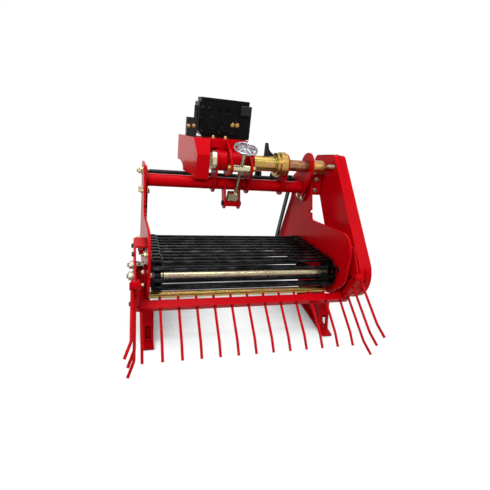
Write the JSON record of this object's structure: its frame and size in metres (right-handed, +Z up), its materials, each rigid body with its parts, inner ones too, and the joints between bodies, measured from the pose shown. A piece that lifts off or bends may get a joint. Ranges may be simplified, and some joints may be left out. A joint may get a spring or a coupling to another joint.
{
  "type": "potato digger",
  "caption": "Walk-behind-tractor potato digger: toothed share, rod conveyor between side plates, hinged tine comb behind, screw-set hitch head with gearbox, side chain guard.",
  "frame": {"origin": "centre of the gearbox's front flange face, on the machine's centre plane", "axes": "+X to the machine's right, +Y forward (digging direction), +Z up, standing on level ground"},
  "size_m": [0.8627, 0.9582, 0.7648],
  "materials": {
    "black_paint": "satin",
    "chain_steel": "satin",
    "chrome": "polished",
    "dull_zinc": "satin",
    "red_paint": "gloss",
    "yellow_zinc": "satin"
  },
  "bodies": {
    "frame": {"axle_clamps": "red_paint", "beam": "red_paint", "clutch_collar": "yellow_zinc", "clutch_lever": "black_paint", "clutch_sleeve": "yellow_zinc", "comb_pins": "yellow_zinc", "cross_tube": "dull_zinc", "front_bearings": "red_paint", "front_rollers": "dull_zinc", "front_shaft": "dull_zinc", "guard_back": "red_paint", "guard_bracket": "red_paint", "guard_cover": "red_paint", "left_bearing": "red_paint", "left_comb_bracket": "red_paint", "left_disc": "yellow_zinc", "left_side_plate": "red_paint", "left_skid": "red_paint", "left_strap": "black_paint", "rear_shaft": "yellow_zinc", "rear_sprockets": "dull_zinc", "right_bearing": "red_paint", "right_comb_bracket": "red_paint", "right_side_plate": "red_paint", "right_skid": "red_paint", "right_strap": "black_paint", "rod_conveyor": "chain_steel", "screw_clevis": "red_paint", "shaft_end": "yellow_zinc", "share_blade": "dull_zinc", "share_carrier": "red_paint", "tie_bar": "black_paint", "upper_axle": "yellow_zinc"},
    "comb": {"comb": "red_paint"},
    "hitch_head": {"hitch_box": "red_paint", "hitch_base": "red_paint", "gearbox": "black_paint", "input_shaft": "yellow_zinc", "post": "black_paint"},
    "trunnion": {"upper_trunnion": "yellow_zinc"},
    "screw": {"depth_screw": "yellow_zinc", "handwheel": "chrome"}
  },
  "joints": [
    {"name": "comb_tilt", "type": "hinge", "parent": "frame", "child": "comb", "pos_m": [0, -0.64254, -0.40649], "axis": [1, 0, 0], "range_deg": [-40, 1]},
    {"name": "hitch_tilt", "type": "hinge", "parent": "frame", "child": "hitch_head", "pos_m": [0, -0.21636, -0.12607], "axis": [1, 0, 0], "range_deg": [-6, 8]},
    {"name": "screw_swing", "type": "hinge", "parent": "frame", "child": "screw", "pos_m": [0, -0.2355, -0.29102], "axis": [1, 0, 0], "range_deg": [-1, 1.2]},
    {"name": "trunnion_turn", "type": "hinge", "parent": "hitch_head", "child": "trunnion", "pos_m": [0, -0.28434, -0.13472], "axis": [1, 0, 0], "range_deg": [-7.5, 5.8]}
  ],
  "couplings": [
    {"joint": "screw_swing", "follows": "hitch_tilt", "ratio": 0.07342},
    {"joint": "trunnion_turn", "follows": "hitch_tilt", "ratio": -0.92658}
  ]
}
